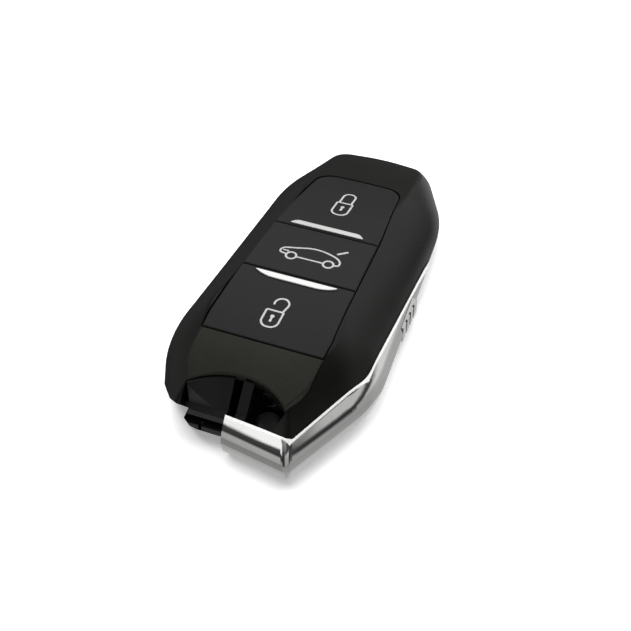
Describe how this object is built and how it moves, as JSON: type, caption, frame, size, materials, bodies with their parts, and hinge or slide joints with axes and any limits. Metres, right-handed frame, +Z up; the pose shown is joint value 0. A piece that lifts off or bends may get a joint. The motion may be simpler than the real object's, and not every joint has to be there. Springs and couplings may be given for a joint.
{
  "type": "car key fob",
  "caption": "Crowned black key fob with push buttons, bright side trim hooked round the keyring eye, and a pull-out emergency key held by a side release.",
  "frame": {"origin": "middle of the flat underside, on the surface that the fob rests on", "axes": "+Z up through the buttons, +Y from the keyring end towards the lock button, +X towards the bright side trim"},
  "size_m": [0.0398, 0.0839, 0.0162],
  "materials": {
    "shell_black": "satin black",
    "bright_trim": "bright chrome plated",
    "bright_bar": "silver-white bright plate",
    "button_black": "fine matte black with pale printed symbols",
    "panel_gloss": "glossy black",
    "bow_black": "satin black",
    "frame_black": "matte black",
    "steel": "plain steel",
    "dark_steel": "black-oxide steel",
    "cell_steel": "satin steel",
    "spring_steel": "drawn wire",
    "mat_rubber": "matte grey",
    "board_green": "green lacquer",
    "switch_body": "moulded black",
    "chip_black": "moulded black",
    "coil_copper": "lacquered copper winding",
    "passive_tan": "ceramic",
    "contact_brass": "plated brass"
  },
  "bodies": {
    "housing": {"front_cover": "shell_black", "back_cover": "shell_black", "side_trim": "bright_trim", "lower_panel": "panel_gloss", "sealing_mat": "mat_rubber", "circuit_board": "board_green", "lock_switch": "switch_body", "trunk_switch": "switch_body", "unlock_switch": "switch_body", "controller_chip": "chip_black", "radio_chip": "chip_black", "crystal": "steel", "antenna_coil": "coil_copper", "board_passives": "passive_tan", "inner_frame": "frame_black", "eye_bush": "dark_steel", "tail_screw": "dark_steel", "coin_cell": "cell_steel", "leaf_contact": "contact_brass", "clip_contact": "contact_brass", "release_spring": "spring_steel"},
    "lock": {"lock_button": "button_black", "upper_bar": "bright_bar", "lock_plunger": "switch_body"},
    "trunk": {"trunk_button": "button_black", "trunk_plunger": "switch_body"},
    "unlock": {"unlock_button": "button_black", "lower_bar": "bright_bar", "unlock_plunger": "switch_body"},
    "emergency_key": {"key_blade": "steel", "key_bow": "bow_black"},
    "release": {"release_slider": "bright_trim"}
  },
  "joints": [
    {"name": "lock_press", "type": "slide", "parent": "housing", "child": "lock", "axis": [0, 0, -1], "range_m": [0, 0.0005], "stiffness_N_per_m": 3000, "springref_m": -0.0001},
    {"name": "trunk_press", "type": "slide", "parent": "housing", "child": "trunk", "axis": [0, 0, -1], "range_m": [0, 0.0005], "stiffness_N_per_m": 3000, "springref_m": -0.0001},
    {"name": "unlock_press", "type": "slide", "parent": "housing", "child": "unlock", "axis": [0, 0, -1], "range_m": [0, 0.0005], "stiffness_N_per_m": 3000, "springref_m": -0.0001},
    {"name": "key_slide", "type": "slide", "parent": "housing", "child": "emergency_key", "axis": [0, -1, 0], "range_m": [0, 0.045]},
    {"name": "release_slide", "type": "slide", "parent": "housing", "child": "release", "axis": [-1, 0, 0], "range_m": [0, 0.0012], "stiffness_N_per_m": 900, "springref_m": -0.0004, "deforming": ["release_spring"]}
  ]
}
